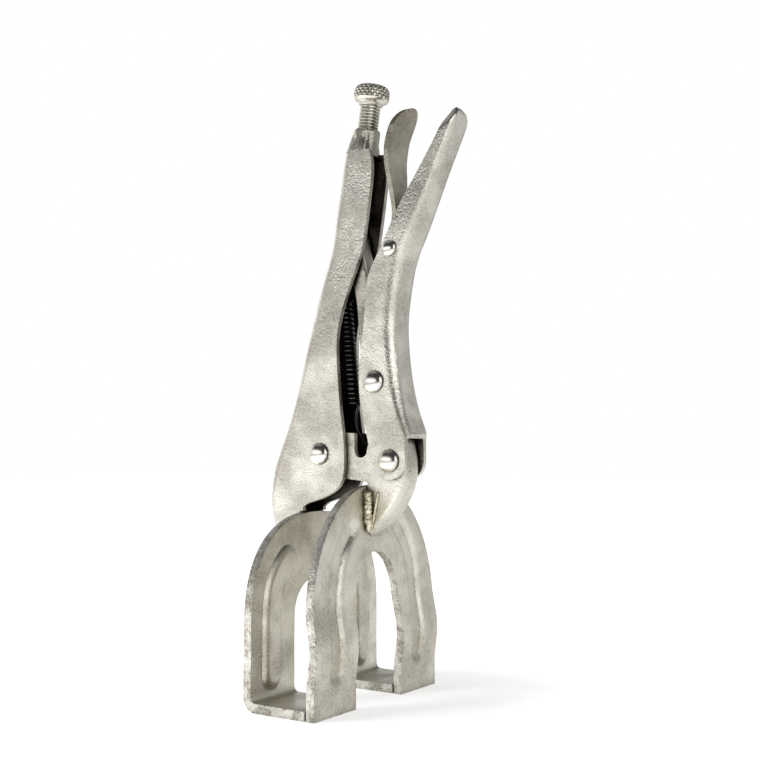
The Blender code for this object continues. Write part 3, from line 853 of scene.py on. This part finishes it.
    def build(self, dresser: Dresser) -> None:
        """Makes the knob, the shank and the neck.

        Args:
            dresser: What paints and places them.
        """
        top = tool(self.top[0], 0, self.top[1])
        knob_end = self.knob_shape[-1][0] * MM
        knob = turned("knurled_knob", top, self.axis(), self.rows(0, knob_end, self.knob_rows),
                      self.knob_radius, self.knurls * self.knurl_sides)
        shank = turned("screw_shank", top, self.axis(),
                       self.rows(knob_end - self.shank_sunk, self.shank_end, self.shank_rows),
                       self.thread_radius, self.shank_sides)
        neck = turned("screw_neck", top, self.axis(),
                      self.rows(self.neck_top, self.neck_end, self.neck_rows),
                      self.neck_radius, self.neck_sides)
        neck.data.set_sharp_from_angle(angle=self.neck_sharp)
        for piece in (knob, shank):
            dresser.place(piece, Finish.SCREW, "screw", "nickel_plate", ["adjusting_screw"])
        dresser.place(neck, Finish.HANDLE, "fixed", "nickel_plate", ["screw_bush"])


@dataclass(frozen=True)
class Rivet:
    """A rivet on a hinge, with its head's radius and height and its shank's radius."""

    node: str
    joint: str
    body: str
    head: float = 4.9 * MM
    height: float = 2.3 * MM
    shank: float = 3.0 * MM


@dataclass
class Rivets:
    """The domed rivets across the handles.

    under_head holds, in millimetres, heights from the seat and radii from the head's.
    """

    rivets: tuple[Rivet, ...] = (
        Rivet("jaw_rivet", "jaw_pivot", "fixed"),
        Rivet("handle_rivet", "handle_pivot", "jaw"),
        Rivet("toggle_rivet", "toggle_pivot", "handle"),
        Rivet("lever_rivet", "lever_pivot", "handle", 3.5 * MM, 1.8 * MM, 2.2 * MM),
    )
    seat: float = 9.3 * MM
    sunk: float = 0.3 * MM
    under_head: tuple[Pair, ...] = ((-0.28, -0.9), (0.1, -0.6), (0.3, 0.0))
    flank: float = 0.45 * MM
    dome_step: int = 6
    sides: int = 64
    sharp: float = math.radians(45)

    def build(self, dresser: Dresser) -> None:
        """Makes each rivet on its joint.

        Args:
            dresser: What paints and places them.
        """
        for rivet in self.rivets:
            outline = self.outline(rivet)
            heights = [h for h, _ in outline]
            radii = dict(outline)
            piece = turned(rivet.node + "_domed", joint_place(rivet.joint), Vector((0, 1, 0)),
                           heights, lambda h, angle, radii=radii: radii[h], self.sides)
            piece.data.set_sharp_from_angle(angle=self.sharp)
            dresser.place(piece, Finish.RIVET, rivet.body, "bright_steel", [rivet.node])

    def outline(self, rivet: Rivet) -> list[Pair]:
        """Lays out a rivet's outline.

        Args:
            rivet: The rivet.

        Returns:
            Heights and radii along it, from one dome to the other.
        """
        dome = []
        for degrees in range(0, 90, self.dome_step):
            turn = math.radians(degrees)
            rise = self.flank + (rivet.height - self.flank) * math.sin(turn)
            dome.append((self.seat + rise, rivet.head * math.cos(turn)))
        rim = [(self.seat + h * MM, rivet.head + r * MM) for h, r in self.under_head]
        half = [(self.seat - self.sunk, rivet.shank), *rim, *dome]
        return [(-h, r) for h, r in reversed(half)] + half


@dataclass
class ReturnSpring:
    """The black tension spring between the handles, with a hook at each end.

    In millimetres, upper_hook holds places from the tab and lower_leg places in the tool's
    middle plane. hook_turns holds the lower hook's first and last angle and its step in degrees.
    """

    wire: float = 0.68 * MM
    wire_sides: int = 8
    coil: float = 3.2 * MM
    turns: int = 21
    steps: int = 24
    top: Pair = (13.9 * MM, 178.0 * MM)
    bottom: Pair = (19.4 * MM, 132.0 * MM)
    tab: Pair = (11.4 * MM, 185.2 * MM)
    upper_hook: tuple[Triple, ...] = (
        (0.0, -3.2, 0.0), (0.2, 2.6, 0.0), (2.6, 3.4, -1.4), (5.6, 1.6, -4.4))
    lower_leg: tuple[Pair, ...] = ((20.6, 127.0), (21.4, 119.8), (26.4, 113.6))
    pin: Pair = (33.6 * MM, 114.2 * MM)
    pin_turn: float = 2.35 * MM
    hook_turns: tuple[int, int, int] = (236, 422, 12)
    pinned_from: Pair = (30.0 * MM, 118.0 * MM)

    def build(self, dresser: Dresser) -> None:
        """Makes the spring as one wire.

        Args:
            dresser: What paints and places it.
        """
        top, bottom = Vector(self.top), Vector(self.bottom)
        down = (bottom - top).normalized()
        aside = Vector((-down.y, down.x))
        points = self.turns * self.steps
        coil = []
        for i in range(points + 1):
            angle = 2 * math.pi * i / self.steps
            centre = top.lerp(bottom, i / points) + aside * self.coil * math.cos(angle)
            coil.append((centre.x, self.coil * math.sin(angle), centre.y))
        tab_x, tab_z = self.tab
        upper = smooth_path([*((tab_x + x * MM, y * MM, tab_z + z * MM)
                               for x, y, z in self.upper_hook), coil[0]])
        hook = [(self.pin[0] + self.pin_turn * math.cos(math.radians(degrees)), 0.0,
                 self.pin[1] + self.pin_turn * math.sin(math.radians(degrees)))
                for degrees in range(*self.hook_turns)]
        lower = smooth_path([coil[-1], *((x * MM, 0.0, z * MM) for x, z in self.lower_leg),
                             hook[0]])
        route = [*upper[:-1], *(Vector(c) for c in coil), *lower[1:-1], *(Vector(h) for h in hook)]
        piece = swept("return_spring", [tool(*p) for p in route],
                      lambda i, angle: self.wire, self.wire_sides)
        ends = (tool(self.top[0], 0, self.top[1]),
                tool(self.pinned_from[0], 0, self.pinned_from[1]))
        dresser.stretch(piece, Finish.SPRING, ("fixed", "jaw"),
                        "spring")


@dataclass
class Welds:
    """The rough beads between the jaws and the parts that carry them, and the thin seams there.

    foot and head hold the rows over which a bead's end grows to its full radius and the share
    of the radius where it starts, and seam_start does so for a seam's lower end.
    """

    radius: float = 2.15 * MM
    sink: float = 0.45 * MM
    sides: int = 20
    count: int = 110
    wander: float = 0.25 * MM
    wander_rate: float = 420.0
    wander_lean: float = 0.6
    seed_step: float = 7.1
    puddles: int = 9
    plain_share: float = 0.80
    puddle_share: float = 0.08
    rough_share: float = 0.24
    rough_reach: float = 2.0
    rough_rate: float = 0.21
    rough_step: float = 5.0
    foot: tuple[int, float] = (30, 0.35)
    head: tuple[int, float] = (6, 0.6)
    seam_radius: float = 0.6 * MM
    seam_start: tuple[int, float] = (8, 0.35)
    seam_count: int = 40
    seam_sides: int = 10
    seam_clear: float = 0.05 * MM
    seam_low: Pair = (2.2 * MM, -0.6 * MM)
    seam_high: Pair = (2.1 * MM, -0.8 * MM)

    def build(self, dresser: Dresser) -> None:
        """Makes the four beads, and the raised seam beside each of the moving jaw's beads.

        Args:
            dresser: What paints and places them.
        """
        for seed, node in enumerate(n for n in sorted(frame["nodes"]) if "_weld_" in n):
            low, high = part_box(node)
            middle = (low + high) / 2
            moving = node.startswith("moving")
            side = math.copysign(1.0, middle.y)
            inward = Vector((-1.0 if moving else 1.0, -side, 0)) * self.sink
            lean = -math.tan(MOVING_LEAN) if moving else 0.0
            route = []
            for i in range(self.count + 1):
                z = low.z + (high.z - low.z) * i / self.count
                off = self.wander * noise.noise(Vector((seed * self.seed_step, 0,
                                                        z * self.wander_rate)))
                up = z - middle.z
                shift = Vector((lean * up + off * self.wander_lean, off, up))
                route.append(middle + inward + shift)
            bead = swept(node.replace("_weld", "_bead"), route, self.lumpy(seed), self.sides)
            body = "jaw" if moving else "fixed"
            dresser.place(bead, Finish.WELD, body, "weld_metal", [node])
            if moving:
                self.seam(dresser, node, low, high, side)

    def seam(self, dresser: Dresser, node: str, low: Vector, high: Vector, side: float) -> None:
        """Makes the thin seam that meets a bead at its foot.

        Args:
            dresser: What paints and places it.
            node: The weld's solid.
            low: The lowest corner of the solid's box.
            high: The highest corner.
            side: 1 on the far side and -1 on the near.
        """
        wall = side * (abs(high.y if side < 0 else low.y) + self.seam_clear)
        start = Vector((low.x + self.seam_low[0], wall, low.z + self.seam_low[1]))
        end = Vector((high.x + self.seam_high[0], wall, high.z + self.seam_high[1]))
        route = [start.lerp(end, i / self.seam_count) for i in range(self.seam_count + 1)]
        piece = swept(node.replace("_weld", "_seam"), route,
                      lambda i, angle: self.seam_radius * self.grown(i, *self.seam_start),
                      self.seam_sides)
        dresser.place(piece, Finish.WELD, "jaw", "weld_metal", [node])

    def grown(self, row: int, rows: int, least: float) -> float:
        """A share that grows from least at row 0 to 1 over a number of rows."""
        return least + (1 - least) * smoothstep(0, rows, row)

    def lumpy(self, seed: int) -> Callable[[int, float], float]:
        """A bead's radius: a row of overlapping puddles, rough between them.

        Args:
            seed: A number that differs from bead to bead.

        Returns:
            The radius as a function of the row and the angle.
        """
        def radius(i: int, angle: float) -> float:
            """The radius at a row and an angle."""
            puddle = abs(math.sin(math.pi * i / self.count * self.puddles + seed))
            rough = noise.noise(Vector((math.cos(angle) * self.rough_reach,
                                        math.sin(angle) * self.rough_reach,
                                        i * self.rough_rate + seed * self.rough_step)))
            lump = self.plain_share + self.puddle_share * puddle + self.rough_share * rough
            ends = self.grown(i, *self.foot) * self.grown(self.count - i, *self.head)
            return self.radius * lump * ends
        return radius


@dataclass(frozen=True)
class Patch:
    """A bright patch of the studio's walls.

    It has its full strength within inner and none beyond outer, both as cosines. On a sphere
    of radius 1 it comes in between the two heights of rise and goes out between those of fade.
    """

    axis: Triple
    outer: float
    inner: float
    strength: float
    fade: Pair = (0.5, 0.9)
    rise: Pair = (-1.2, -1.1)


@dataclass
class Studio:
    """The camera, the white ground and the soft light.

    floor_rim is the distance over which the floor's glow grows to white for the camera, and
    mirror_near where the extra light that the metal mirrors ends. The mirrored light is
    mirror_far, with mirror_extra more nearby and mirror_left more still at the front left.
    """

    wall_grey: float = 0.05
    wall_brightest: float = 2.0
    patches: tuple[Patch, ...] = (
        Patch((-0.56, -0.83, 0.05), 0.80, 0.995, 1.60, (0.12, 0.32), (-0.12, 0.10)),
        Patch((0.86, -0.50, 0.10), 0.78, 0.97, 1.50),
        Patch((0.60, 0.79, 0.04), 0.50, 0.98, 0.52),
        Patch((-0.98, 0.20, 0.04), 0.66, 0.95, 0.95),
        Patch((-0.55, 0.83, 0.04), 0.80, 0.98, 0.50),
        Patch((-0.45, -0.20, 0.87), 0.80, 0.98, 0.25, (1.5, 2.0)),
    )
    camera_azimuth: float = 0.58637
    camera_elevation: float = -0.07196
    camera_shift: Triple = (0.02821, 0.14361, 0.50372)
    lens: float = 52.0
    clip: Pair = (0.02, 20.0)
    floor_reach: float = 6.0
    floor_drop: float = 0.05 * MM
    floor_colour: Colour = (0.90, 0.90, 0.90)
    floor_rim: Pair = (0.05, 0.17)
    floor_least: float = 0.62
    mirror_near: Pair = (0.40, 1.40)
    mirror_far: float = 0.30
    mirror_extra: float = 0.22
    mirror_left: float = 0.42
    front_left: Triple = (-0.55, -0.83, 0.0)
    front_left_step: Pair = (0.00, 0.20)
    key_place: Triple = (-0.55, -0.75, 0.95)
    key_aim: Triple = (0.0, 0.0, 0.13)
    key_size: float = 0.40
    key_power: float = 5.5

    def build(self) -> None:
        """Makes everything around the clamp."""
        self.camera()
        self.world()
        self.floor()
        self.lamp()

    def camera(self) -> None:
        """Sets the camera at the photograph's viewing angle."""
        a, e = self.camera_azimuth, self.camera_elevation
        back = Vector((math.sin(a) * math.cos(e), -math.cos(a) * math.cos(e), math.sin(e)))
        right = Vector((0, 0, 1)).cross(back).normalized()
        up = back.cross(right)
        data = bpy.data.cameras.new("camera")
        data.lens = self.lens
        data.clip_start, data.clip_end = self.clip
        camera = bpy.data.objects.new("camera", data)
        across, above, away = self.camera_shift
        place = tool(0, 0, 0) + right * across + up * above + back * away
        axes = Matrix((right, up, back)).transposed()
        camera.matrix_world = Matrix.Translation(place) @ axes.to_4x4()
        bpy.context.scene.collection.objects.link(camera)
        bpy.context.scene.camera = camera

    def world(self) -> None:
        """Makes a white background, and grey walls with bright patches for the metal to reflect."""
        world = bpy.data.worlds.new("studio")
        world.use_nodes = True
        bpy.context.scene.world = world
        net = Net(world.node_tree)
        direction = net.node("ShaderNodeTexCoord").outputs["Generated"]
        height = net.dot(direction, (0.0, 0.0, 1.0))
        light: Value | float = self.wall_grey
        for patch in self.patches:
            lit = net.dot(direction, patch.axis).step(patch.outer, patch.inner) * patch.strength
            light = lit * (1 - height.step(*patch.fade)) * height.step(*patch.rise) + light
        brightest: Colour = (self.wall_brightest,) * 3
        walls = net.mix(light * (1 / self.wall_brightest), BLACK, brightest)
        seen = net.value("ShaderNodeLightPath", "Is Camera Ray")
        background = world.node_tree.nodes["Background"]
        net.tree.links.new(net.mix(seen, walls, WHITE), background.inputs["Color"])
        background.inputs["Strength"].default_value = 1.0

    def floor(self) -> None:
        """Makes a white floor that fades into the background and keeps the clamp's soft shadow."""
        reach = self.floor_reach
        mesh = bpy.data.meshes.new("floor")
        mesh.from_pydata([(-reach, -reach, 0), (reach, -reach, 0), (reach, reach, 0),
                          (-reach, reach, 0)], [], [(0, 1, 2, 3)])
        floor = bpy.data.objects.new("floor", mesh)
        floor.location.z = -self.floor_drop
        bpy.context.scene.collection.objects.link(floor)
        mesh.materials.append(self.floor_material())

    def floor_material(self) -> bpy.types.Material:
        """Makes the floor's white, which glows for the camera and for what the metal mirrors.

        Returns:
            The material.
        """
        made = bpy.data.materials.new("floor_white")
        made.use_nodes = True
        net = Net(made.node_tree)
        place = net.node("ShaderNodeNewGeometry").outputs["Position"]
        distance = net.value("ShaderNodeVectorMath", "Value", {"operation": "LENGTH"}, {0: place})
        rays = net.node("ShaderNodeLightPath")
        seen = Value(net, rays.outputs["Is Camera Ray"])
        mirrored = Value(net, rays.outputs["Is Glossy Ray"])
        left = net.dot(place, self.front_left).step(*self.front_left_step)
        near = 1 - distance.step(*self.mirror_near)
        white = distance.step(*self.floor_rim) * (1 - self.floor_least) + self.floor_least
        mirror = near * (left * self.mirror_left + self.mirror_extra) + self.mirror_far
        glow_colour = net.mix(white * seen + mirror * mirrored, BLACK, WHITE)
        lit = net.node("ShaderNodeBsdfDiffuse", None, {"Color": (*self.floor_colour, 1.0)})
        glow = net.node("ShaderNodeEmission", None, {"Color": glow_colour, "Strength": 1.0})
        both = net.node("ShaderNodeAddShader", None, {0: lit.outputs[0], 1: glow.outputs[0]})
        output = made.node_tree.nodes["Material Output"]
        net.tree.links.new(both.outputs[0], output.inputs["Surface"])
        return made

    def lamp(self) -> None:
        """Makes the key, a square soft lamp that the metal doesn't mirror."""
        data = bpy.data.lights.new("key", "AREA")
        data.size = self.key_size
        data.energy = self.key_power
        lamp = bpy.data.objects.new("key", data)
        lamp.location = self.key_place
        aim = Vector(self.key_aim) - Vector(self.key_place)
        lamp.visible_glossy = False
        lamp.rotation_mode = "QUATERNION"
        lamp.rotation_quaternion = aim.to_track_quat("-Z", "Y")
        bpy.context.scene.collection.objects.link(lamp)


def main() -> None:
    """Builds the studio and dresses the clamp, part by part."""
    logging.basicConfig(level=logging.INFO, format="%(name)s: %(message)s")
    bpy.context.scene.view_settings.view_transform = "Standard"
    Studio().build()
    dresser = Dresser()
    PressedJaw("fixed_jaw", "fixed", throat_rise=17.5 * MM, rise_exponent=2.4, footed=True,
               bead_route=((34.0, 14.0), (34.0, 28.0), (33.8, 42.0), (32.0, 51.5),
                           (28.3, 58.0), (23.5, 62.5))).build(dresser)
    PressedJaw("moving_jaw", "jaw", throat_rise=30.0 * MM, rise_exponent=2.1, footed=False,
               bead_route=((32.0, 18.0), (32.2, 32.0), (31.8, 46.0), (29.8, 59.0),
                           (25.5, 69.0), (19.5, 76.0))).build(dresser)
    for node in ("fixed_handle", "moving_handle", "jaw_bracket", "toggle_link"):
        dresser.keep(node, Finish.HANDLE, edge=0.55 * MM)
    dresser.keep("release_lever", Finish.LEVER, edge=0.8 * MM)
    dresser.keep("spring_pin", Finish.RIVET, edge=0.2 * MM)
    AdjustingScrew().build(dresser)
    Rivets().build(dresser)
    ReturnSpring().build(dresser)
    Welds().build(dresser)


if __name__ == "__main__":
    main()
